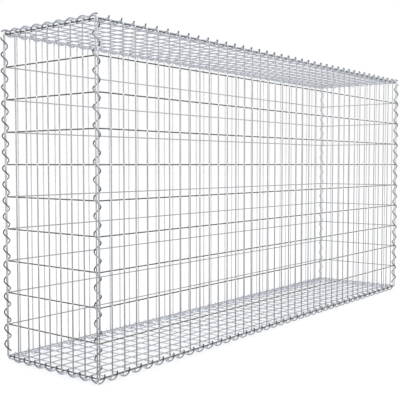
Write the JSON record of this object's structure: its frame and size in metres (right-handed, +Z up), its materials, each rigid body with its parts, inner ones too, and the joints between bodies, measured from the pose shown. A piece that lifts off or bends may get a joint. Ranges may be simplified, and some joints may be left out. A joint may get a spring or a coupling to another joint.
{
  "type": "empty gabion basket",
  "caption": "Long upright wire basket of welded mesh panels laced along every edge with spiral wire, to be filled with stone as a free-standing wall.",
  "frame": {"origin": "middle of the footprint, on the ground under the floor spirals", "axes": "+X along the basket's length, +Y through its width towards the back, +Z up"},
  "size_m": [2.0258, 0.431, 1.0299],
  "materials": {
    "mesh_wire": "bright zinc coating on drawn wire, satin, with small weld marks at the crossings",
    "coil_wire": "dull zinc coating on coiled wire"
  },
  "bodies": {
    "root": {"front_panel": "mesh_wire", "back_panel": "mesh_wire", "left_end_panel": "mesh_wire", "right_end_panel": "mesh_wire", "floor_panel": "mesh_wire", "lid_panel": "mesh_wire", "front_floor_coil": "coil_wire", "back_floor_coil": "coil_wire", "left_floor_coil": "coil_wire", "right_floor_coil": "coil_wire", "front_lid_coil": "coil_wire", "back_lid_coil": "coil_wire", "left_lid_coil": "coil_wire", "right_lid_coil": "coil_wire", "front_left_corner_coil": "coil_wire", "back_right_corner_coil": "coil_wire", "front_right_corner_coil": "coil_wire", "back_left_corner_coil": "coil_wire"}
  },
  "joints": []
}
